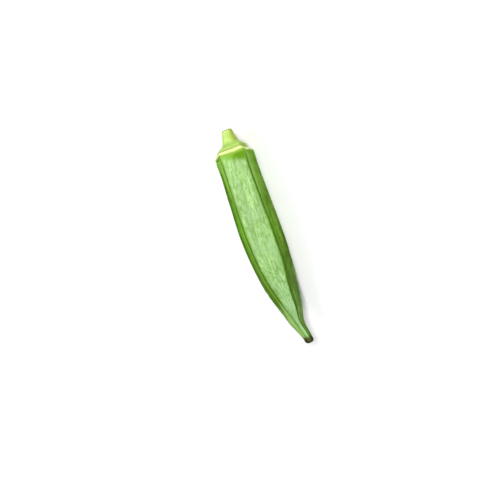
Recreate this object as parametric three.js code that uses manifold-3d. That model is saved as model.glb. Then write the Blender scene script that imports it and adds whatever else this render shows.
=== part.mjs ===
// Okra pod as picked: a five-ridged green capsule, and the cut stalk with the cap that it hung by.
// It lies on its side on the two lowest of its ridges.
//
// Millimetres, +Z up, the surface it lies on is Z = 0, and +X points to the cut stalk.
// A station is a distance along the pod from the cut end of the stalk, and an angle is measured
// round the axis from straight up, positive towards +Y.

import * as THREE from 'three';
import { mergeVertices } from 'three/addons/utils/BufferGeometryUtils.js';
import Module from 'manifold-3d';

const wasm = await Module();
wasm.setup();

// ---- driving dimensions -------------------------------------------------------------------------

const LENGTH = 110; // cut end of the stalk to the tip
const BODY_RADIUS = 10.95; // axis to the ridge tops where the pod is thickest
const THICKEST = 51; // station of that place
const SHOULDER_RADIUS = 10.35; // ridge tops just behind the rim
const SHOULDER = 12.2; // station where the shoulder begins
const RIM_RADIUS = 9.55; // raised rim that the cap left round the top of the pod
const SCAR_RADIUS = 8.6; // round end where pod and cap meet
const SCAR = 10; // station of that meeting
const RIM = 11; // station from which the rim gives way to the shoulder
const GAP = 0.3; // clearance between the two solids
const BEAK_RADIUS = 3.05; // slender beak, where it leaves the taper
const BEAK = 101; // station of that place
const NUB_RADIUS = 2.1; // dried end of the beak
const STALK_RADIUS = 2.9; // cut end of the stalk
const STALK_BEVEL = 0.2; // worn edge of the cut
const COLLAR_RADIUS = 5.3; // small step where the stalk swells into the cap
const COLLAR = 7; // station of that step
const CAP_RADIUS = 8.45; // wide edge of the cap

const RIDGES = 5;
const FACE_HOLLOW = 0.45; // how far the middle of a face sinks in along the body
const HOLLOW_FULL = 31; // station from which it sinks in fully
const FACE_SCOOP = 1; // and how far it sinks in right behind the rim
const SCOOP_REACH = 4; // length past the shoulder in which that scoop dies away
const RIDGES_ON_STALK = 0.4; // how strongly the ridges show on the stalk, where 1 is on the body
const RIDGES_AT_SCAR = 0.75; // and where the cap meets the pod
const RIDGES_FADE = [0.86, 0.985]; // parts of the length where they start to fade and are gone

const LEAN_SIDE = THREE.MathUtils.degToRad(49); // angle of the side on which the shoulder sits higher
const SHOULDER_LEAN = 0.45; // how much nearer the stalk the shoulder is on that side
const LEAN_REACH = 8; // length past the shoulder in which the leaning dies away
const CAP_ASIDE = 1.5; // how far the cap and rim bulge out to that side
const BULGE_END = [10.7, 12]; // stations between which that bulge dies away
const RIM_DROOP = 0.5; // how far the edge of the cap and the rim reach on towards the tip
const SCALLOP = 0.12; // how much less they do so at each ridge, and more between two
const DROOP_END = [11.5, 13.5]; // stations between which the droop dies away

const SWAY = 6.2; // the axis drifts aside along the body
const SWAY_EASE = 0.47;
const HOOK_SHARE = 0.28; // part of the drift that a first bend takes back, and the hook the rest
const HOOK_BEND = [0.7, 0.86]; // parts of the length where the first bend starts and ends
const HOOK = [0.875, 1]; // and those of the hook in the beak
const REST_HEIGHT = 7.9; // axis above the surface at both ends
const ARCH = 0.7; // rise of the axis at mid-length, which keeps the lowest ridges level
const FACE_NARROWING = 0.3; // radians by which the ridges close in on the front face at the tip
const NARROWING = [0.6, 0.87]; // parts of the length where that starts and is complete
const TIP_SIDE = THREE.MathUtils.degToRad(-60); // angle of the side that they close in on in the beak
const TIP_NARROWING = 0.3; // and by how many radians more
const TIP_CLOSING = [0.82, 0.92]; // parts of the length where that starts and is complete

const SECTOR = (2 * Math.PI) / RIDGES;
const HALF_SECTOR = SECTOR / 2;
const FRONT_FACE = -HALF_SECTOR; // angle of the middle of the upper front face
const POD_STEPS = 12; // lathe segments from ridge to ridge
const CAP_STEPS = 8;
const CROWDING = 1.5; // over 1 crowds those segments towards the ridges

const { lerp, smoothstep } = THREE.MathUtils;
const fading = (value, start, end) => 1 - smoothstep(value, start, end);

// ---- form ---------------------------------------------------------------------------------------

// How strongly the five ridges show at a station: a little on the stalk, more at the cap and the
// rim, fully along the body, and not at all on the dried nub.
function ridgeStrength(station) {
  const byScar = lerp(RIDGES_ON_STALK, RIDGES_AT_SCAR, smoothstep(station, COLLAR - 0.5, SCAR));
  const byShoulder = lerp(byScar, 1, smoothstep(station, RIM, SHOULDER + 1));
  return byShoulder * fading(station / LENGTH, ...RIDGES_FADE);
}

// Radius at an angle from the nearest ridge, where the ridge tops reach out to `outer`.
function ridgedRadius(fromRidge, outer, station) {
  const flatFace = outer * Math.cos(HALF_SECTOR) / Math.cos(HALF_SECTOR - Math.abs(fromRidge));
  const midFace = (1 - Math.cos(RIDGES * fromRidge)) / 2;
  const hollow = FACE_HOLLOW * smoothstep(station, SHOULDER, HOLLOW_FULL);
  const behindRim = smoothstep(station, RIM - 0.4, RIM + 1);
  const scoop = FACE_SCOOP * behindRim * fading(station, SHOULDER, SHOULDER + SCOOP_REACH);
  return lerp(outer, flatFace - (hollow + scoop) * midFace, ridgeStrength(station));
}

// Height and sideways place of the axis at a station.
function axisAt(station) {
  const along = Math.min(Math.max(station / LENGTH, 0), 1);
  const drift = SWAY * along / (along + SWAY_EASE);
  const back = HOOK_SHARE * smoothstep(along, ...HOOK_BEND) + (1 - HOOK_SHARE) * smoothstep(along, ...HOOK);
  return {
    y: drift * (1 - back),
    z: REST_HEIGHT + ARCH * Math.sin(Math.PI * along) ** 2,
  };
}

// Turns a lathed outline, which stands round +Y, into the ridged and bowed form along X.
function growRidges(lathed) {
  const place = lathed.attributes.position;
  for (let i = 0; i < place.count; i++) {
    const outer = Math.hypot(place.getX(i), place.getZ(i));
    const level = place.getY(i);
    const turn = Math.atan2(place.getX(i), place.getZ(i)) / SECTOR;
    const ridge = Math.round(turn);
    const across = 2 * (turn - ridge);
    const fromRidge = Math.sign(across) * HALF_SECTOR * Math.abs(across) ** CROWDING;
    const even = ridge * SECTOR + fromRidge;
    const closing = FACE_NARROWING * smoothstep(level / LENGTH, ...NARROWING);
    const tipClosing = TIP_NARROWING * smoothstep(level / LENGTH, ...TIP_CLOSING);
    const angle = even - closing * Math.sin(even - FRONT_FACE) - tipClosing * Math.sin(even - TIP_SIDE);

    const nearRim = smoothstep(level, COLLAR, SCAR) * fading(level, ...DROOP_END);
    const scalloped = RIM_DROOP - SCALLOP * Math.cos(RIDGES * fromRidge);
    const droop = scalloped * nearRim * (outer / RIM_RADIUS) ** 2;
    const leaning = smoothstep(level, RIM, SHOULDER) * fading(level, SHOULDER, SHOULDER + LEAN_REACH);
    const bulging = smoothstep(level, COLLAR, SCAR) * fading(level, ...BULGE_END);
    const toLeanSide = outer / SHOULDER_RADIUS * Math.cos(angle - LEAN_SIDE);

    const station = level + droop - SHOULDER_LEAN * leaning * toLeanSide;
    const radius = ridgedRadius(fromRidge, outer, level) + CAP_ASIDE * bulging * toLeanSide;
    const axis = axisAt(station);
    place.setXYZ(
      i,
      LENGTH / 2 - station,
      axis.y + radius * Math.sin(angle),
      axis.z + radius * Math.cos(angle),
    );
  }
  return lathed;
}

// ---- solids -------------------------------------------------------------------------------------

// A closed manifold solid from a three.js geometry.
function solidOf(geometry) {
  const bare = geometry.index ? geometry.clone() : geometry;
  bare.deleteAttribute('normal');
  bare.deleteAttribute('uv');
  const merged = mergeVertices(bare);
  const corners = merged.index.array;
  const faces = [];
  for (let i = 0; i < corners.length; i += 3) {
    const [a, b, c] = [corners[i], corners[i + 1], corners[i + 2]];
    if (a !== b && b !== c && c !== a) faces.push(a, b, c);
  }
  return new wasm.Manifold(new wasm.Mesh({
    numProp: 3,
    vertProperties: new Float32Array(merged.attributes.position.array),
    triVerts: new Uint32Array(faces),
  }));
}

// A three.js geometry from a manifold solid.
function geometryOf(solid) {
  const mesh = solid.getMesh();
  const geometry = new THREE.BufferGeometry();
  geometry.setAttribute('position', new THREE.BufferAttribute(mesh.vertProperties, 3));
  geometry.setIndex(new THREE.BufferAttribute(mesh.triVerts, 1));
  geometry.computeVertexNormals();
  return geometry;
}

// The block below the surface. Cutting it away leaves the long flat spots that the pod lies on.
function underSurface() {
  const depth = 10;
  const block = new THREE.BoxGeometry(2 * LENGTH, LENGTH, depth);
  block.translate(0, 0, -depth / 2);
  return solidOf(block);
}

// ---- pod ----------------------------------------------------------------------------------------

function podGeometry() {
  const top = SCAR + GAP;
  const outline = new THREE.Path();
  outline.moveTo(0, top);
  outline.lineTo(SCAR_RADIUS, top);
  outline.splineThru([
    new THREE.Vector2(RIM_RADIUS - 0.25, top + 0.5),
    new THREE.Vector2(RIM_RADIUS, top + 1),
    new THREE.Vector2(RIM_RADIUS + 0.2, top + 1.3),
  ]);
  outline.splineThru([
    new THREE.Vector2(SHOULDER_RADIUS - 0.5, SHOULDER - 0.4),
    new THREE.Vector2(SHOULDER_RADIUS - 0.1, SHOULDER + 0.3),
    new THREE.Vector2(SHOULDER_RADIUS, SHOULDER + 1.2),
    new THREE.Vector2(SHOULDER_RADIUS - 0.2, SHOULDER + 6),
    new THREE.Vector2(BODY_RADIUS - 0.4, THICKEST - 16),
    new THREE.Vector2(BODY_RADIUS, THICKEST),
    new THREE.Vector2(0.955 * BODY_RADIUS, THICKEST + 12),
    new THREE.Vector2(0.83 * BODY_RADIUS, THICKEST + 23.5),
    new THREE.Vector2(0.585 * BODY_RADIUS, THICKEST + 36.5),
    new THREE.Vector2(0.38 * BODY_RADIUS, BEAK - 5),
    new THREE.Vector2(BEAK_RADIUS, BEAK),
    new THREE.Vector2(NUB_RADIUS + 0.3, LENGTH - 4.5),
    new THREE.Vector2(NUB_RADIUS, LENGTH - 1.3),
  ]);
  outline.splineThru([
    new THREE.Vector2(0.82 * NUB_RADIUS, LENGTH - 0.5),
    new THREE.Vector2(0.45 * NUB_RADIUS, LENGTH - 0.1),
    new THREE.Vector2(0, LENGTH),
  ]);
  const lathed = new THREE.LatheGeometry(outline.getPoints(2), POD_STEPS * RIDGES);
  return geometryOf(solidOf(growRidges(lathed)).subtract(underSurface()));
}

// ---- stalk and cap ------------------------------------------------------------------------------

function stemCapGeometry() {
  const outline = new THREE.Path();
  outline.moveTo(0, 0);
  outline.lineTo(STALK_RADIUS - STALK_BEVEL, 0);
  outline.lineTo(STALK_RADIUS, STALK_BEVEL);
  outline.splineThru([
    new THREE.Vector2(STALK_RADIUS + 0.5, 2.7),
    new THREE.Vector2(COLLAR_RADIUS - 0.9, COLLAR - 1),
    new THREE.Vector2(COLLAR_RADIUS, COLLAR),
  ]);
  outline.splineThru([
    new THREE.Vector2(COLLAR_RADIUS + 0.45, COLLAR + 0.5),
    new THREE.Vector2(CAP_RADIUS - 0.7, SCAR - 1.5),
    new THREE.Vector2(CAP_RADIUS, SCAR - 0.4),
  ]);
  outline.lineTo(SCAR_RADIUS, SCAR);
  outline.lineTo(0, SCAR);
  return geometryOf(solidOf(growRidges(new THREE.LatheGeometry(outline.getPoints(2), CAP_STEPS * RIDGES))));
}

// ---- assembly -----------------------------------------------------------------------------------

const podSkin = new THREE.MeshStandardMaterial({ color: 0x6fa838, roughness: 0.45, metalness: 0 });
const stalkSkin = new THREE.MeshStandardMaterial({ color: 0xb9d46a, roughness: 0.6, metalness: 0 });

const pod = new THREE.Mesh(podGeometry(), podSkin);
pod.name = 'pod';

const stemCap = new THREE.Mesh(stemCapGeometry(), stalkSkin);
stemCap.name = 'stem_cap';

const okra = new THREE.Group();
okra.add(pod, stemCap);

// The origin is the middle of the whole part's box, on the surface it lies on.
const middle = new THREE.Box3().setFromObject(okra).getCenter(new THREE.Vector3());
okra.position.set(-middle.x, -middle.y, 0);

export default okra;
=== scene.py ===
from math import atan2, cos, exp, hypot, pi, radians, sin

import bmesh
import bpy
from mathutils import Matrix, Vector, noise
from mathutils.geometry import interpolate_bezier


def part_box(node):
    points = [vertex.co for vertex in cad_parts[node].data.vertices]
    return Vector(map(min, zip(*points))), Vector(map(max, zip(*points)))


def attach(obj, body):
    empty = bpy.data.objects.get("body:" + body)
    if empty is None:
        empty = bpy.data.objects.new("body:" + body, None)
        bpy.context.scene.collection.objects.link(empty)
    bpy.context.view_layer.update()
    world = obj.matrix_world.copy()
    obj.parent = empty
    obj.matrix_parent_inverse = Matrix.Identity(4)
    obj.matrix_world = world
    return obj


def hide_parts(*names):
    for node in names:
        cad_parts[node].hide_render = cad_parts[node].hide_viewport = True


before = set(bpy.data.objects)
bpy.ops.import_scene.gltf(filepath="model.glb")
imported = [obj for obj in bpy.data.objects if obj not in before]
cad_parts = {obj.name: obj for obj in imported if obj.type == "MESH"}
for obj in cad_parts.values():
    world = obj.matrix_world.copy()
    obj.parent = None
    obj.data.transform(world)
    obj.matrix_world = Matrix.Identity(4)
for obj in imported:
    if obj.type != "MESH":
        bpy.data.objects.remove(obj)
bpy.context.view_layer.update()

# ---- Pod ------------------------------------------------------------------------------------------
# The capsule: one closed skin with five ridges that tapers to a slender beak and a dried nub. It grew
# in one piece, so it is spun as one form and then raised into ridges, rim and wrinkles. It lies on
# the two lowest ridges, which are pressed a little flat where they touch the surface.

MM = 0.001
stalk_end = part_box("stem_cap")[1][0]
tip_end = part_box("pod")[0][0]
LENGTH = (stalk_end - tip_end) / MM

# A station is a distance in millimetres along the pod from the cut end of the stalk, and an angle
# is measured round the axis from straight up, positive towards +Y. Radii reach to the ridge tops.
COLLAR = 7
SCAR = 10
RIM = 11
SHOULDER = 12.2
THICKEST = 51
BEAK = 101
SCAR_RADIUS = 8.6
RIM_RADIUS = 9.55
SHOULDER_RADIUS = 10.35
BODY_RADIUS = 10.95
BEAK_RADIUS = 3.05
NUB_RADIUS = 2.1
SKIN_GAP = 0.05

RIDGES = 5
SECTOR = 2 * pi / RIDGES
HALF_SECTOR = SECTOR / 2
TOP_RIDGE = 0
FRONT_FACE = -HALF_SECTOR
FAR_FACE = HALF_SECTOR
LEAN_SIDE = radians(49)
TIP_SIDE = radians(-60)
SHADE_SIDE = radians(-144)

# How strongly the ridges show, where 1 is on the body: on the stalk, and what cap and shoulder add.
RIDGES_ON_STALK = 0.4
RIDGES_ON_CAP = 0.35
RIDGES_ON_SHOULDER = 0.25

# A pair says where a change starts and where it is complete, mostly as stations.
CAP_RIDGES_GROW = (COLLAR - 0.5, SCAR)
SHOULDER_RIDGES_GROW = (RIM, SHOULDER + 1)
RIDGES_FADE = (0.86 * LENGTH, 0.985 * LENGTH)

FACE_HOLLOW = 0.5
FRONT_HOLLOW = 0.2
FRONT_HOLLOW_COSINES = (cos(HALF_SECTOR), 0.9)
HOLLOW_GROWS = (SHOULDER, 2.5 * SHOULDER)
FACE_SCOOP = 1.0
SCOOP_START = (RIM - 0.4, RIM + 1)
SCOOP_END = (SHOULDER, SHOULDER + 4)
BEAD_HEIGHT = 0.26
BEAD_WIDTH = 0.32

# The ridges close in on the front face towards the tip, and on the tip side in the beak.
FACE_NARROWING = 0.3
NARROWING = (0.6 * LENGTH, 0.87 * LENGTH)
TIP_NARROWING = 0.3
TIP_CLOSING = (0.82 * LENGTH, 0.92 * LENGTH)

# The shoulder stands higher on one side, and cap and rim bulge out to that side. Their edges droop
# towards the tip, less at each ridge than between two.
SHOULDER_LEAN = 0.45
LEAN_START = (RIM, SHOULDER)
LEAN_END = (SHOULDER, SHOULDER + 8)
CAP_ASIDE = 1.5
BULGE_START = (COLLAR, SCAR)
BULGE_END = (10.7, 12)
RIM_DROOP = 0.5
SCALLOP = 0.12
DROOP_START = (COLLAR, SCAR)
DROOP_END = (11.5, 13.5)

# The axis drifts aside, and a bend and a hook, in parts of the length, take the drift back.
SWAY = 6.2
SWAY_EASE = 0.47
BEND_SHARE = 0.28
BEND = (0.70, 0.86)
HOOK = (0.875, 1.0)
AXIS_ASIDE = -2.53
REST_HEIGHT = 7.9
ARCH = 0.7

# Skin patterns are placed in the grain: the station, and a circle of this radius round the axis.
GRAIN_RADIUS = 10

# noise_vector takes its offsets from the clock unless it is seeded.
SKIN_SEED = 1
noise.seed_set(SKIN_SEED)


def smoothstep(value, low, high):
    part = min(max((value - low) / (high - low), 0), 1)
    return part * part * (3 - 2 * part)


def stretch(value, start, end):
    """1 on the stretch that comes in over start and goes out over end, and 0 beyond it."""
    return smoothstep(value, *start) * (1 - smoothstep(value, *end))


def hump(distance, height, width):
    """Height of a rounded line at a distance from its middle."""
    return height * exp(-(distance / width) ** 2)


def smooth_line(points, step):
    """Points about a step apart on a smooth line through the given ones."""
    handle_part = 6
    points = [Vector((station, radius, 0)) for station, radius in points]
    spans = [points[0]] + points + [points[-1]]
    line = [points[0]]
    for before, start, end, after in zip(spans, spans[1:], spans[2:], spans[3:]):
        count = max(2, round((end - start).length / step))
        handles = (start + (end - before) / handle_part, end - (after - start) / handle_part)
        line += interpolate_bezier(start, *handles, end, count + 1)[1:]
    return line


def outline_from(start, stretches):
    """An outline through stretches of (step, points), each smooth and met by the next at a corner."""
    outline = [Vector((*start, 0))]
    for step, points in stretches:
        outline += smooth_line([start, *points], step)[1:]
        start = points[-1]
    return outline


def spun(outline, steps_per_sector):
    """A closed skin spun round X from an outline of stations and radii."""
    bm = bmesh.new()
    verts = [bm.verts.new((point.x, 0, point.y)) for point in outline]
    edges = [bm.edges.new(pair) for pair in zip(verts, verts[1:])]
    bmesh.ops.spin(bm, geom=verts + edges, cent=(0, 0, 0), axis=(1, 0, 0), angle=2 * pi,
                   steps=steps_per_sector * RIDGES, use_merge=True, use_duplicate=False)
    bmesh.ops.remove_doubles(bm, verts=bm.verts, dist=1e-4)
    return bm


def ridge_strength(station):
    strength = RIDGES_ON_STALK + RIDGES_ON_CAP * smoothstep(station, *CAP_RIDGES_GROW)
    strength += RIDGES_ON_SHOULDER * smoothstep(station, *SHOULDER_RIDGES_GROW)
    return strength * (1 - smoothstep(station, *RIDGES_FADE))


def ridged_radius(even, from_ridge, outer, station):
    """Radius at an angle from the nearest ridge, where the ridge tops reach out to outer."""
    flat_face = (outer - BEAD_HEIGHT) * cos(HALF_SECTOR) / cos(HALF_SECTOR - abs(from_ridge))
    mid_face = (1 - cos(RIDGES * from_ridge)) / 2
    on_front = smoothstep(cos(even - FRONT_FACE), *FRONT_HOLLOW_COSINES)
    hollow = FACE_HOLLOW + (FRONT_HOLLOW - FACE_HOLLOW) * on_front
    hollow *= mid_face * smoothstep(station, *HOLLOW_GROWS)
    scoop = FACE_SCOOP * mid_face * stretch(station, SCOOP_START, SCOOP_END)
    bead = hump(from_ridge * outer, BEAD_HEIGHT, BEAD_WIDTH)
    return outer + ridge_strength(station) * (flat_face - hollow - scoop + bead - outer)


def axis_at(station):
    """Sideways place and height of the axis: it drifts aside along the body and hooks back."""
    along = min(max(station / LENGTH, 0), 1)
    drift = SWAY * along / (along + SWAY_EASE)
    back = BEND_SHARE * smoothstep(along, *BEND) + (1 - BEND_SHARE) * smoothstep(along, *HOOK)
    return AXIS_ASIDE + drift * (1 - back), REST_HEIGHT + ARCH * sin(pi * along) ** 2


def grow_ridges(bm, relief):
    """Raises a spun skin into the ridged and bowed form, in metres in the frame."""
    crowding = 1.5
    level_layer = bm.verts.layers.float.new("level")
    ridge_layer = bm.verts.layers.float.new("from_ridge")
    grain_layer = bm.verts.layers.float_vector.new("grain")
    reach_layer = bm.verts.layers.float.new("reach")
    crease_layer = bm.verts.layers.float.new("crease")
    for vert in bm.verts:
        level = vert.co.x
        outer = hypot(vert.co.y, vert.co.z)
        turn = atan2(vert.co.y, vert.co.z) / SECTOR
        ridge = round(turn)
        across = 2 * (turn - ridge)
        crowded = HALF_SECTOR * abs(across) ** crowding
        from_ridge = crowded if across > 0 else -crowded
        even = ridge * SECTOR + from_ridge
        closing = FACE_NARROWING * smoothstep(level, *NARROWING)
        tip_closing = TIP_NARROWING * smoothstep(level, *TIP_CLOSING)
        angle = even - closing * sin(even - FRONT_FACE) - tip_closing * sin(even - TIP_SIDE)

        to_lean_side = outer / SHOULDER_RADIUS * cos(angle - LEAN_SIDE)
        lean = SHOULDER_LEAN * stretch(level, LEAN_START, LEAN_END) * to_lean_side
        drooping = stretch(level, DROOP_START, DROOP_END) * (outer / RIM_RADIUS) ** 2
        droop = drooping * (RIM_DROOP - SCALLOP * cos(RIDGES * from_ridge))
        aside = CAP_ASIDE * stretch(level, BULGE_START, BULGE_END)
        station = level + droop - lean

        grain = Vector((level, GRAIN_RADIUS * sin(even), GRAIN_RADIUS * cos(even)))
        raised, crease = relief(grain, outer, from_ridge)
        radius = ridged_radius(even, from_ridge, outer, level) + aside * to_lean_side + raised
        sideways, height = axis_at(station)
        vert.co = (stalk_end - station * MM,
                   (sideways + radius * sin(angle)) * MM,
                   max(height + radius * cos(angle), 0) * MM)
        vert[level_layer] = level
        vert[ridge_layer] = abs(from_ridge) * outer
        vert[grain_layer] = grain
        vert[reach_layer] = outer
        vert[crease_layer] = crease
    # Stations run against X, which turns a skin inside out, and the sign of its volume tells so.
    bmesh.ops.recalc_face_normals(bm, faces=bm.faces)
    if bm.calc_volume(signed=True) < 0:
        bmesh.ops.reverse_faces(bm, faces=bm.faces)


def finished(bm, name):
    """The finished mesh as a smooth-shaded object."""
    mesh = bpy.data.meshes.new(name)
    bm.to_mesh(mesh)
    bm.free()
    mesh.shade_smooth()
    piece = bpy.data.objects.new(name, mesh)
    bpy.context.scene.collection.objects.link(piece)
    return piece


# A groove runs beside each ridge and a sunken vein along the middle of each face, and the skin
# shrinks into wrinkles towards the beak. Heights are in millimetres.
BODY_START = (SHOULDER, SHOULDER + 6)
BODY_END = (BEAK - 3, BEAK + 4)
SHRUNK_START = (60, 80)
GROOVE_FROM_RIDGE = 1.0
STREAK_HEIGHT = 0.08
FAINT_CREASES = 0.12
CREASE_DEPTH = 0.09
CREASE_EDGE = (0, 0.16)
CREASE_WARP = 0.35
WARPS_PER_MM = 0.35


def drawn_out(place, along, across):
    """A place in the grain, scaled to so many features in a millimetre along and across."""
    return Vector((place.x * along, place.y * across, place.z * across))


def unevenness(grain, height, per_mm):
    return height * noise.noise(grain * per_mm)


def pod_relief(grain, outer, from_ridge):
    """How far the skin stands proud at a place, and how deep in a crease it is."""
    on_body = stretch(grain.x, BODY_START, BODY_END)
    arc = abs(from_ridge) * outer
    groove = hump(arc - GROOVE_FROM_RIDGE, height=0.10, width=0.4)
    vein = hump(HALF_SECTOR * outer - arc, height=0.08, width=0.7)
    streak = STREAK_HEIGHT * noise.noise(drawn_out(grain, along=0.06, across=0.8))
    swell = unevenness(grain, height=0.12, per_mm=0.16)
    pebbles = unevenness(grain, height=0.03, per_mm=1.1)
    shrunk = stretch(grain.x, SHRUNK_START, BODY_END)
    warp = CREASE_WARP * noise.noise_vector(grain * WARPS_PER_MM)
    warped = drawn_out(grain, along=0.36, across=0.42) + warp
    nearest = noise.voronoi(warped)[0]
    crease = FAINT_CREASES + (1 - FAINT_CREASES) * shrunk
    crease *= 1 - smoothstep(nearest[1] - nearest[0], *CREASE_EDGE)
    raised = (streak - groove - vein) * on_body + swell + pebbles - CREASE_DEPTH * crease
    return raised, crease * on_body


pod_top = SCAR + SKIN_GAP
rim_top = (pod_top + 1.5, RIM_RADIUS + 0.2)
nub_foot = (LENGTH - 2.6, NUB_RADIUS + 0.05)
flat_top = (1.0, [(pod_top, SCAR_RADIUS)])
raised_rim = (0.12, [(pod_top + 0.15, SCAR_RADIUS + 0.4),
                     (pod_top + 0.65, RIM_RADIUS - 0.25),
                     (pod_top + 1.2, RIM_RADIUS),
                     rim_top])
long_body = (0.35, [(SHOULDER - 0.4, SHOULDER_RADIUS - 0.5),
                    (SHOULDER + 0.3, SHOULDER_RADIUS - 0.1),
                    (SHOULDER + 1.2, SHOULDER_RADIUS),
                    (SHOULDER + 5, SHOULDER_RADIUS - 0.15),
                    (SHOULDER + 10, SHOULDER_RADIUS - 0.25),
                    (THICKEST - 16, BODY_RADIUS - 0.4),
                    (THICKEST, BODY_RADIUS),
                    (THICKEST + 12, 0.955 * BODY_RADIUS),
                    (THICKEST + 23.5, 0.83 * BODY_RADIUS),
                    (THICKEST + 36.5, 0.585 * BODY_RADIUS),
                    (BEAK - 5, 0.38 * BODY_RADIUS),
                    (BEAK, BEAK_RADIUS),
                    (LENGTH - 4.5, NUB_RADIUS + 0.3),
                    nub_foot])
dried_nub = (0.15, [(LENGTH - 1.3, NUB_RADIUS),
                    (LENGTH - 0.5, 0.82 * NUB_RADIUS),
                    (LENGTH - 0.1, 0.45 * NUB_RADIUS),
                    (LENGTH, 0)])
pod_outline = outline_from((pod_top, 0), [flat_top, raised_rim, long_body, dried_nub])
pod_bm = spun(pod_outline, steps_per_sector=40)
grow_ridges(pod_bm, pod_relief)
pod = finished(pod_bm, "pod_skin")


def new_finish(name):
    """A material and its shader."""
    finish = bpy.data.materials.new(name)
    finish.use_nodes = True
    return finish, finish.node_tree.nodes["Principled BSDF"]


def add_node(tree, kind, sources=(), **settings):
    """A node of a kind, with its inputs set to numbers, colours or the outputs of other nodes."""
    node = tree.nodes.new(kind)
    for name, value in settings.items():
        setattr(node, name, value)
    for socket, source in dict(sources).items():
        if isinstance(source, bpy.types.NodeSocket):
            tree.links.new(source, node.inputs[socket])
        else:
            node.inputs[socket].default_value = source
    return node


def attribute(tree, name, output="Fac"):
    return add_node(tree, "ShaderNodeAttribute", attribute_name=name).outputs[output]


def rise(tree, value, start, full, most=1.0):
    """Rises smoothly from 0 to most while the value goes from start to full."""
    sources = {"Value": value, "From Min": start, "From Max": full, "To Min": 0, "To Max": most}
    node = add_node(tree, "ShaderNodeMapRange", sources, interpolation_type="SMOOTHSTEP")
    return node.outputs["Result"]


def calculate(tree, operation, first, second):
    return add_node(tree, "ShaderNodeMath", {0: first, 1: second}, operation=operation).outputs[0]


def add(tree, first, second):
    return calculate(tree, "ADD", first, second)


def subtract(tree, first, second):
    return calculate(tree, "SUBTRACT", first, second)


def multiply(tree, first, *others):
    for other in others:
        first = calculate(tree, "MULTIPLY", first, other)
    return first


def larger(tree, first, second):
    return calculate(tree, "MAXIMUM", first, second)


def without(tree, part):
    """What is left of 1 when a part is taken away."""
    return subtract(tree, 1.0, part)


def blend(tree, factor, first, second):
    """Two colours mixed by a factor."""
    factor_socket, first_socket, second_socket, mixed_socket = 0, 6, 7, 2
    mixer = add_node(tree, "ShaderNodeMix", {factor_socket: factor}, data_type="RGBA")
    for socket, colour in ((first_socket, first), (second_socket, second)):
        if isinstance(colour, bpy.types.NodeSocket):
            tree.links.new(colour, mixer.inputs[socket])
        else:
            mixer.inputs[socket].default_value = (*colour, 1)
    return mixer.outputs[mixed_socket]


def lay(tree, colour, rows, part=None):
    """Lays shades over a colour, on the whole skin or on a part of it. Each row holds the pattern
    that brings a shade out, from which value to which, how strongly, and the shade."""
    for pattern, start, full, most, shade in rows:
        shown = rise(tree, pattern, start, full, most)
        if part is not None:
            shown = multiply(tree, part, shown)
        colour = blend(tree, shown, colour, shade)
    return colour


def skin_noise(tree, grain, along, across, detail, roughness=0.5):
    """Noise in the grain of the skin, with so many features in a millimetre along and across."""
    sources = {"Vector": grain, "Scale": (along, across, across)}
    placed = add_node(tree, "ShaderNodeMapping", sources).outputs[0]
    sources = {"Vector": placed, "Scale": 1.0, "Detail": detail, "Roughness": roughness}
    return add_node(tree, "ShaderNodeTexNoise", sources).outputs[0]


def turned_to(tree, grain, angle):
    """1 on the side of the pod that is turned to an angle, -1 on the opposite side."""
    side = (0, sin(angle) / GRAIN_RADIUS, cos(angle) / GRAIN_RADIUS)
    sources = {0: grain, 1: side}
    return add_node(tree, "ShaderNodeVectorMath", sources, operation="DOT_PRODUCT").outputs["Value"]


def roughen(tree, shader, texture, strength, height):
    sources = {"Height": texture, "Strength": strength, "Distance": height}
    bump = add_node(tree, "ShaderNodeBump", sources)
    tree.links.new(bump.outputs[0], shader.inputs["Normal"])


DEEP_GREEN = (0.070, 0.185, 0.008)
POD_GREEN = (0.112, 0.280, 0.012)
PALE_GREEN = (0.200, 0.420, 0.050)
SHEEN_PAINT_GREEN = (0.247, 0.428, 0.186)
DULL_GREEN = (0.065, 0.125, 0.018)
OLIVE_SHADE_AND_WEATHER = (0.130, 0.200, 0.030)
GROOVE_GREEN = (0.045, 0.120, 0.005)
LINE_GREEN = (0.270, 0.440, 0.110)
SHOULDER_GREEN = (0.105, 0.235, 0.010)
RIM_GREEN = (0.240, 0.380, 0.055)
RIM_YELLOW = (0.590, 0.745, 0.280)
SCAR_BROWN = (0.330, 0.300, 0.090)
NUB_BLACK = (0.030, 0.036, 0.010)
NUB_OLIVE = (0.110, 0.130, 0.045)
WAX_TINT = (0.97, 1.0, 0.93, 1)
NOISE_MIDDLE = 0.5

pod_finish, shader = new_finish("pod_skin")
tree = pod_finish.node_tree
level = attribute(tree, "level")
from_ridge = attribute(tree, "from_ridge")
crease = attribute(tree, "crease")
grain = attribute(tree, "grain", "Vector")
to_front = turned_to(tree, grain, FRONT_FACE)
to_shade = turned_to(tree, grain, SHADE_SIDE)
to_lean = turned_to(tree, grain, LEAN_SIDE)
patches = skin_noise(tree, grain, along=0.05, across=0.25, detail=4)
streaks = skin_noise(tree, grain, along=0.035, across=0.9, detail=5, roughness=0.6)
dashes = skin_noise(tree, grain, along=0.16, across=1.2, detail=3, roughness=0.55)
mottle = skin_noise(tree, grain, along=0.36, across=0.95, detail=4, roughness=0.72)
ribs = skin_noise(tree, grain, along=0.02, across=0.42, detail=2, roughness=0.4)
blotches = skin_noise(tree, grain, along=0.22, across=0.34, detail=4, roughness=0.6)
fibres = skin_noise(tree, grain, along=0.09, across=0.95, detail=4, roughness=0.65)

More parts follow.
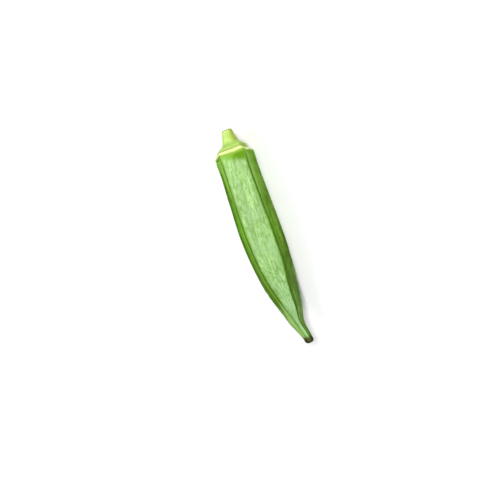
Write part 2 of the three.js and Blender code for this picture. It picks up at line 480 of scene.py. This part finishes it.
# From here on, three numbers in a name say where a change starts, where it is full, and how strong
# it is then. Two say it of a change that is full at 1.
colour = lay(tree, DEEP_GREEN, [(patches, 0.32, 0.50, 1.0, POD_GREEN),
                                (patches, 0.50, 0.70, 1.0, PALE_GREEN),
                                (streaks, 0.50, 0.64, 0.75, PALE_GREEN),
                                (streaks, 0.43, 0.33, 0.6, DEEP_GREEN),
                                (mottle, 0.47, 0.34, 0.6, DEEP_GREEN)])
# Dashes darken the skin as its own marks, and the creases are darkened as painted shade.
DASHES_SHOW = (0.62, 0.69)
MARK_AND_CREASE_SHADE_DARKNESS = 0.8
marks_and_crease_shade = larger(tree, rise(tree, dashes, *DASHES_SHOW), crease)
colour = blend(tree, multiply(tree, marks_and_crease_shade, MARK_AND_CREASE_SHADE_DARKNESS), colour, DEEP_GREEN)

# The side that is turned down is olive, partly its own tone and partly painted shade, in patches and
# more so towards the stalk.
OLIVE_SIDE = (0.66, 0.94)
OLIVE_LEAST = 0.3
OLIVE_TO_STALK = (42, 26, 0.3)
OLIVE_PATCHES = (1.70, 2.10, 0.75)
olive_shade = add(tree, OLIVE_LEAST, rise(tree, level, *OLIVE_TO_STALK))
olive_shade = multiply(tree, rise(tree, to_shade, *OLIVE_SIDE), olive_shade)
colour = blend(tree, olive_shade, colour, OLIVE_SHADE_AND_WEATHER)
shaded = add(tree, to_shade, add(tree, patches, mottle))
colour = blend(tree, rise(tree, shaded, *OLIVE_PATCHES), colour, OLIVE_SHADE_AND_WEATHER)

# Off the front face the skin is fibrous: pale towards the stalk and dull brown-green past the middle.
# It is darker on the side turned down, and on that half by the beak, as painted shade.
FRONT_EDGE = (0.835, 0.805)
DULL_PAST_MIDDLE = (48, 76, 0.68)
DULL_SIDE = (0.6, 0.9, 0.25)
DULL_BY_BEAK = (82, 90, 0.22)
DULL_BEAK_SIDE = (-0.2, 0.2)
off_front = rise(tree, to_front, *FRONT_EDGE)
on_front = without(tree, off_front)
colour = lay(tree, colour, [(ribs, 0.50, 0.60, 0.7, PALE_GREEN),
                            (ribs, 0.46, 0.36, 0.6, DEEP_GREEN),
                            (level, 42, 24, 0.85, PALE_GREEN)], part=off_front)
dullness_and_shade = add(tree, rise(tree, level, *DULL_PAST_MIDDLE), rise(tree, to_shade, *DULL_SIDE))
beak_side_shade = multiply(tree, rise(tree, level, *DULL_BY_BEAK), rise(tree, to_shade, *DULL_BEAK_SIDE))
dullness_and_shade = add(tree, dullness_and_shade, beak_side_shade)
colour = blend(tree, multiply(tree, off_front, dullness_and_shade), colour, DULL_GREEN)
colour = lay(tree, colour, [(blotches, 0.51, 0.61, 0.20, PALE_GREEN),
                            (blotches, 0.48, 0.38, 0.45, GROOVE_GREEN),
                            (fibres, 0.52, 0.64, 0.5, PALE_GREEN),
                            (fibres, 0.48, 0.36, 0.7, GROOVE_GREEN)], part=off_front)

# The front face is paler towards the stalk and clear green in patches. From its middle to the beak
# it is painted pale as a painted sheen, thinner along the top ridge and in wrinkles.
SHEEN_PAINT_STARTS = (50, 62, 0.2)
SHEEN_PAINT_SPREADS = (66, 84, 0.65)
SHEEN_PAINT_ON_BEAK = (86, 92, 0.32)
SHEEN_PAINT_LOST_ON_TOP = (0.93, 0.99, 0.35)
ROUGH_MOTTLE = (0.48, 0.34, 0.6)
SHEEN_PAINT_LOST_IN_WRINKLES = 0.62
colour = lay(tree, colour, [(level, 36, 18, 0.3, PALE_GREEN),
                            (patches, 0.48, 0.34, 0.7, POD_GREEN)], part=on_front)
painted_sheen = larger(tree, rise(tree, level, *SHEEN_PAINT_STARTS), rise(tree, level, *SHEEN_PAINT_SPREADS))
painted_sheen = add(tree, painted_sheen, rise(tree, level, *SHEEN_PAINT_ON_BEAK))
by_top_ridge = rise(tree, turned_to(tree, grain, TOP_RIDGE), *SHEEN_PAINT_LOST_ON_TOP)
painted_sheen = multiply(tree, painted_sheen, subtract(tree, on_front, by_top_ridge))
wrinkled = larger(tree, crease, rise(tree, mottle, *ROUGH_MOTTLE))
painted_sheen = multiply(tree, painted_sheen, without(tree, multiply(tree, wrinkled, SHEEN_PAINT_LOST_IN_WRINKLES)))
colour = blend(tree, painted_sheen, colour, SHEEN_PAINT_GREEN)

# Off the front face a dark line of painted shade runs along each ridge, where the side turns away
# past the crest, and wanders a little. It is fainter on the side turned down, and further out on the
# far face. Past it the skin is pale towards the stalk, a painted light where the side catches light
# by the ridge.
FAR_FACE_EDGE = (0.78, 0.84)
NEXT_TO_FRONT = (0.22, 0.42)
LINE_OUT_ON_FAR_FACE = 1.4
LINE_BACK_BY_BEAK = (84, 98, 2.6)
LINE_WANDER = 3.0
LINE_FROM_RIDGE = (2.2, 1.2, 0.9)
LINE_LOST_IN_SHADE = (0.80, 0.95, 0.65)
PALE_FROM_RIDGE = (1.8, 2.6)
PALE_TO_STALK = (44, 26, 0.8)
far_face = rise(tree, turned_to(tree, grain, FAR_FACE), *FAR_FACE_EDGE)
next_to_front = rise(tree, to_front, *NEXT_TO_FRONT)
line_out = subtract(tree, LINE_OUT_ON_FAR_FACE, rise(tree, level, *LINE_BACK_BY_BEAK))
from_line = subtract(tree, from_ridge, multiply(tree, far_face, line_out))
from_line = add(tree, from_line, multiply(tree, subtract(tree, streaks, NOISE_MIDDLE), LINE_WANDER))
painted_shade_line = multiply(tree, rise(tree, from_line, *LINE_FROM_RIDGE), off_front)
painted_shade_line = multiply(tree, painted_shade_line, without(tree, rise(tree, to_shade, *LINE_LOST_IN_SHADE)))
painted_light_strip = multiply(tree, rise(tree, from_ridge, *PALE_FROM_RIDGE), next_to_front)
painted_light_strip = multiply(tree, painted_light_strip, multiply(tree, off_front, rise(tree, level, *PALE_TO_STALK)))
colour = blend(tree, painted_light_strip, colour, LINE_GREEN)

# The far face is weathered to olive past its middle and pale on the beak.
WEATHERED_START = (58, 74, 0.4)
WEATHERED_END = (86, 94, 0.4)
weathered = subtract(tree, rise(tree, level, *WEATHERED_START), rise(tree, level, *WEATHERED_END))
colour = blend(tree, multiply(tree, far_face, weathered), colour, OLIVE_SHADE_AND_WEATHER)
colour = lay(tree, colour, [(level, 84, 96, 0.5, LINE_GREEN)], part=far_face)

# The painted shade line is fainter at the shoulder and on the beak, and where the blotches are pale.
LINE_AT_SHOULDER = 0.35
LINE_GROWS = (SHOULDER, SHOULDER + 8, 0.65)
LINE_FADES = (88, 100, 0.35)
LINE_MOST = 1.05
LINE_BROKEN = (0.46, 0.62, 0.35)
painted_shade_depth = add(tree, LINE_AT_SHOULDER, rise(tree, level, *LINE_GROWS))
painted_shade_depth = subtract(tree, painted_shade_depth, rise(tree, level, *LINE_FADES))
painted_shade_depth = multiply(tree, painted_shade_depth, painted_shade_line)
painted_shade_depth = multiply(tree, painted_shade_depth, subtract(tree, LINE_MOST, rise(tree, blotches, *LINE_BROKEN)))
colour = blend(tree, painted_shade_depth, colour, GROOVE_GREEN)

# Behind the rim runs a green band without wax. It is shorter and paler on the side where the
# shoulder stands higher, and faint off the front face.
BAND_SHORTER = 3.1
BAND_STREAKS = 2.5
BAND_END = (SHOULDER + 3.5, SHOULDER + 7.3)
BAND_LOST_OFF_FRONT = 0.75
BAND_PALE = (-0.25, 0.50)
BAND_FROM_RIM = (SCAR + 2, SHOULDER + 2.0)
band_place = add(tree, level, multiply(tree, to_lean, BAND_SHORTER))
band_place = add(tree, band_place, multiply(tree, streaks, BAND_STREAKS))
past_band = rise(tree, band_place, *BAND_END)
past_band = larger(tree, past_band, multiply(tree, off_front, BAND_LOST_OFF_FRONT))
band_pale = add(tree, to_lean, subtract(tree, mottle, NOISE_MIDDLE))
band = blend(tree, rise(tree, band_pale, *BAND_PALE), SHOULDER_GREEN, PALE_GREEN)
band = blend(tree, rise(tree, level, *BAND_FROM_RIM), RIM_GREEN, band)
colour = blend(tree, past_band, band, colour)

# The rim is yellow-green, and brown in spots where the cap meets it.
RIM_EDGE = (SCAR + 2.1, SCAR + 1.2)
RIM_SHORTER = 0.5
SCAR_EDGE = (SCAR + 0.45, SCAR + 0.15)
SCAR_SPOTS = (0.30, 0.56, 0.85)
rim_place = add(tree, level, multiply(tree, far_face, RIM_SHORTER))
colour = blend(tree, rise(tree, rim_place, *RIM_EDGE), colour, RIM_YELLOW)
scarred = multiply(tree, rise(tree, level, *SCAR_EDGE), rise(tree, mottle, *SCAR_SPOTS))
colour = blend(tree, scarred, colour, SCAR_BROWN)

# The nub has dried black, with a little olive left in front, and its edge is ragged.
NUB_RAGGED = 4.0
NUB_LONGER = 0.4
NUB_EDGE = (LENGTH - 3.8, LENGTH - 1.8)
NUB_FRONT = (0.55, 1.0, 0.45)
NUB_END = (LENGTH - 0.8, LENGTH - 0.1, 0.6)
dried = add(tree, level, multiply(tree, subtract(tree, mottle, NOISE_MIDDLE), NUB_RAGGED))
dried = add(tree, dried, multiply(tree, far_face, NUB_LONGER))
nub = blend(tree, rise(tree, to_front, *NUB_FRONT), NUB_BLACK, NUB_OLIVE)
colour = blend(tree, rise(tree, dried, *NUB_EDGE), colour, nub)
colour = blend(tree, rise(tree, level, *NUB_END), colour, NUB_BLACK)
tree.links.new(colour, shader.inputs["Base Color"])

# The wax shines where the skin faces the eye and fades out along the beak. It is partly rubbed off
# before the beak and on marks and creases, thinner in streaks, and almost gone from the painted shade
# line.
WAX_FACING = (0.50, 0.04, 0.78)
WAX_END = (LENGTH - 1, BEAK - 8)
RUBBED_START = (77, 85)
RUBBED_END = (89, 84, 0.35)
WAX_LOST_ON_MARKS_AND_CREASES = 0.45
WAX_LEAST = 0.72
WAX_MOTTLE = (0.35, 0.65, 0.56)
THIN_STREAKS = (0.45, 0.34, 0.25)
THIN_FROM_MIDDLE = (44, 52, 0.10)
THIN_UNTIL_BEAK = (72, 80, 0.12)
WAX_MOST = 1.06
facing = add_node(tree, "ShaderNodeLayerWeight", {"Blend": 0.5}).outputs["Facing"]
rubbed = multiply(tree, rise(tree, level, *RUBBED_START), rise(tree, level, *RUBBED_END))
thin = add(tree, rise(tree, streaks, *THIN_STREAKS), rise(tree, level, *THIN_FROM_MIDDLE))
thin = subtract(tree, thin, rise(tree, level, *THIN_UNTIL_BEAK))
wax = multiply(tree, rise(tree, facing, *WAX_FACING), past_band, rise(tree, level, *WAX_END))
wax = multiply(tree, wax, without(tree, rubbed), without(tree, painted_shade_line))
wax = multiply(tree, wax, without(tree, multiply(tree, marks_and_crease_shade, WAX_LOST_ON_MARKS_AND_CREASES)))
wax = multiply(tree, wax, add(tree, WAX_LEAST, rise(tree, mottle, *WAX_MOTTLE)))
wax = multiply(tree, wax, subtract(tree, WAX_MOST, thin))
tree.links.new(wax, shader.inputs["Specular IOR Level"])
shader.inputs["Specular Tint"].default_value = WAX_TINT

SMOOTHEST = 0.38
ROUGHER_MOTTLE = (0.7, 0.3, 0.12)
roughness = add(tree, SMOOTHEST, rise(tree, mottle, *ROUGHER_MOTTLE))
tree.links.new(roughness, shader.inputs["Roughness"])
fine = skin_noise(tree, grain, along=0.7, across=1.2, detail=6, roughness=0.7)
roughen(tree, shader, fine, strength=0.45, height=0.2 * MM)
pod.data.materials.append(pod_finish)
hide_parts("pod")
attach(pod, "root")

# ---- Stalk and cap ---------------------------------------------------------------------------------
# The cut stalk that the pod hung by, which widens into the woody cap on top of the pod. It is one
# growth, slightly five-sided, and its cut end shows a pale pith inside a darker ring.

STALK_RADIUS = 2.9
STALK_BEVEL = 0.12
COLLAR_RADIUS = 5.3
CAP_RADIUS = 8.45


def cap_relief(grain, outer, from_ridge):
    swell = unevenness(grain, height=0.05, per_mm=0.5)
    pebbles = unevenness(grain, height=0.02, per_mm=2.0)
    return swell + pebbles, 0


cut_end = (0.4, [(0, STALK_RADIUS - STALK_BEVEL)])
stalk = (0.2, [(STALK_BEVEL, STALK_RADIUS),
               (2.7, STALK_RADIUS + 0.5),
               (COLLAR - 1, COLLAR_RADIUS - 0.9),
               (COLLAR, COLLAR_RADIUS)])
wide_cap = (0.2, [(COLLAR + 0.5, COLLAR_RADIUS + 0.45),
                  (SCAR - 1.5, CAP_RADIUS - 0.7),
                  (SCAR - 0.4, CAP_RADIUS),
                  (SCAR, SCAR_RADIUS)])
cap_foot = (1.0, [(SCAR, 0)])
cap_bm = spun(outline_from((0, 0), [cut_end, stalk, wide_cap, cap_foot]), steps_per_sector=24)
grow_ridges(cap_bm, cap_relief)
cap = finished(cap_bm, "stem_cap_skin")

STALK_PALE = (0.420, 0.600, 0.150)
STALK_GREEN = (0.270, 0.370, 0.025)
CAP_GREEN = (0.300, 0.500, 0.092)
PITH_WHITE = (0.800, 0.860, 0.550)
CUT_RING = (0.330, 0.520, 0.110)
CUT_EDGE = (0.240, 0.250, 0.080)

cap_finish, shader = new_finish("stalk_skin")
tree = cap_finish.node_tree
level = attribute(tree, "level")
grain = attribute(tree, "grain", "Vector")
reach = attribute(tree, "reach")
to_shade = turned_to(tree, grain, SHADE_SIDE)
streaks = skin_noise(tree, grain, along=0.1, across=0.5, detail=5, roughness=0.6)
mottle = skin_noise(tree, grain, along=0.6, across=0.8, detail=4, roughness=0.6)
# The stalk is pale in streaks and greener on the cap, and its side turned down is darker as painted
# shade.
colour = lay(tree, STALK_GREEN, [(streaks, 0.36, 0.50, 1.0, STALK_PALE),
                                 (to_shade, 0.02, 0.30, 0.95, STALK_GREEN),
                                 (level, COLLAR - 1.5, COLLAR + 1, 0.9, CAP_GREEN),
                                 (mottle, 0.48, 0.36, 0.5, STALK_GREEN)])
CAP_SCAR_EDGE = (SCAR - 0.7, SCAR - 0.1)
scarred = multiply(tree, rise(tree, level, *CAP_SCAR_EDGE), rise(tree, mottle, *SCAR_SPOTS))
colour = blend(tree, scarred, colour, SCAR_BROWN)
# The side turned down is darker again, a painted shade, and the cut end has a brown edge.
colour = lay(tree, colour, [(to_shade, 0.25, 0.75, 0.75, STALK_GREEN),
                            (level, 0.6, 0.1, 0.7, CUT_EDGE)])

# From its middle outwards the cut end shows pith, flesh, a ring, flesh again and a dried edge.
CUT_FACE_DEPTH = (0.2, 0.03)
cut_face = lay(tree, PITH_WHITE, [(reach, 0.6, 1.1, 1.0, STALK_PALE),
                                  (reach, 1.4, 1.8, 1.0, CUT_RING),
                                  (reach, 1.9, 2.2, 1.0, STALK_PALE),
                                  (reach, 2.3, 2.45, 1.0, CUT_EDGE)])
colour = blend(tree, rise(tree, level, *CUT_FACE_DEPTH), colour, cut_face)
tree.links.new(colour, shader.inputs["Base Color"])
shader.inputs["Roughness"].default_value = 0.55
shader.inputs["Specular IOR Level"].default_value = 0.3
fine = skin_noise(tree, grain, along=0.8, across=2.0, detail=5, roughness=0.6)
roughen(tree, shader, fine, strength=0.4, height=0.15 * MM)
cap.data.materials.append(cap_finish)
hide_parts("stem_cap")
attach(cap, "root")

# ---- Floor, light and camera -----------------------------------------------------------------------
# A plain pale floor under two softboxes: the large one stands where the upper front face of the pod
# mirrors it, and the smaller one behind. A long lens looks down on the pod from in front.

FLOOR_SIZE = 3
FLOOR_WHITE = (0.75, 0.75, 0.75, 1)
ROOM_WHITE = (1, 1, 1, 1)
ROOM_LIGHT = 0.4

floor_bm = bmesh.new()
bmesh.ops.create_grid(floor_bm, x_segments=1, y_segments=1, size=FLOOR_SIZE)
floor = finished(floor_bm, "floor")
floor_finish, shader = new_finish("floor_white")
shader.inputs["Base Color"].default_value = FLOOR_WHITE
shader.inputs["Roughness"].default_value = 0.9
floor.data.materials.append(floor_finish)

studio = bpy.data.worlds.new("studio")
studio.use_nodes = True
studio.node_tree.nodes["Background"].inputs["Color"].default_value = ROOM_WHITE
studio.node_tree.nodes["Background"].inputs["Strength"].default_value = ROOM_LIGHT
bpy.context.scene.world = studio
bpy.context.scene.view_settings.view_transform = "Standard"


def softbox(name, direction, distance, size, watts):
    lamp = bpy.data.lights.new(name, "AREA")
    lamp.size = size
    lamp.energy = watts
    stand = bpy.data.objects.new(name, lamp)
    stand.location = Vector(direction).normalized() * distance
    stand.rotation_euler = Vector(direction).to_track_quat("Z", "Y").to_euler()
    bpy.context.scene.collection.objects.link(stand)


softbox("key_softbox", (0.156, -0.509, 0.847), distance=1.3, size=1.0, watts=22)
softbox("fill_softbox", (-0.2, 0.75, 0.63), distance=1.3, size=0.8, watts=9)

# The frame is square and PIXELS wide, and one of its pixels shows PIXEL_SIZE of the pod. The pod's
# axis runs from STALK_PIXEL to TIP_PIXEL, as (right, down) from the top left corner.
PIXELS = 500
PIXEL_SIZE = 0.4767 * MM
STALK_PIXEL = Vector((226.2, 129.4))
TIP_PIXEL = Vector((309.7, 341.4))
VIEW_FROM = (-0.156, -0.648, 0.745)
LENS = 100
SENSOR = 36

lens = bpy.data.cameras.new("camera")
lens.lens = LENS
lens.sensor_width = SENSOR
camera = bpy.data.objects.new("camera", lens)
bpy.context.scene.collection.objects.link(camera)
bpy.context.scene.camera = camera
toward = Vector(VIEW_FROM).normalized()
to_tip = Vector((-1, 0, 0))
to_tip = (to_tip - to_tip.dot(toward) * toward).normalized()
beside = toward.cross(to_tip)
slant = atan2(TIP_PIXEL.y - STALK_PIXEL.y, TIP_PIXEL.x - STALK_PIXEL.x)
right = cos(slant) * to_tip + sin(slant) * beside
up = toward.cross(right)
middle = Vector(((stalk_end + tip_end) / 2, AXIS_ASIDE * MM, REST_HEIGHT * MM))
off_centre = (STALK_PIXEL + TIP_PIXEL) / 2 - Vector((PIXELS / 2, PIXELS / 2))
target = middle - off_centre.x * PIXEL_SIZE * right + off_centre.y * PIXEL_SIZE * up
distance = LENS / SENSOR * PIXELS * PIXEL_SIZE
turned = Matrix((right, up, toward)).transposed().to_4x4()
camera.matrix_world = Matrix.Translation(target + distance * toward) @ turned
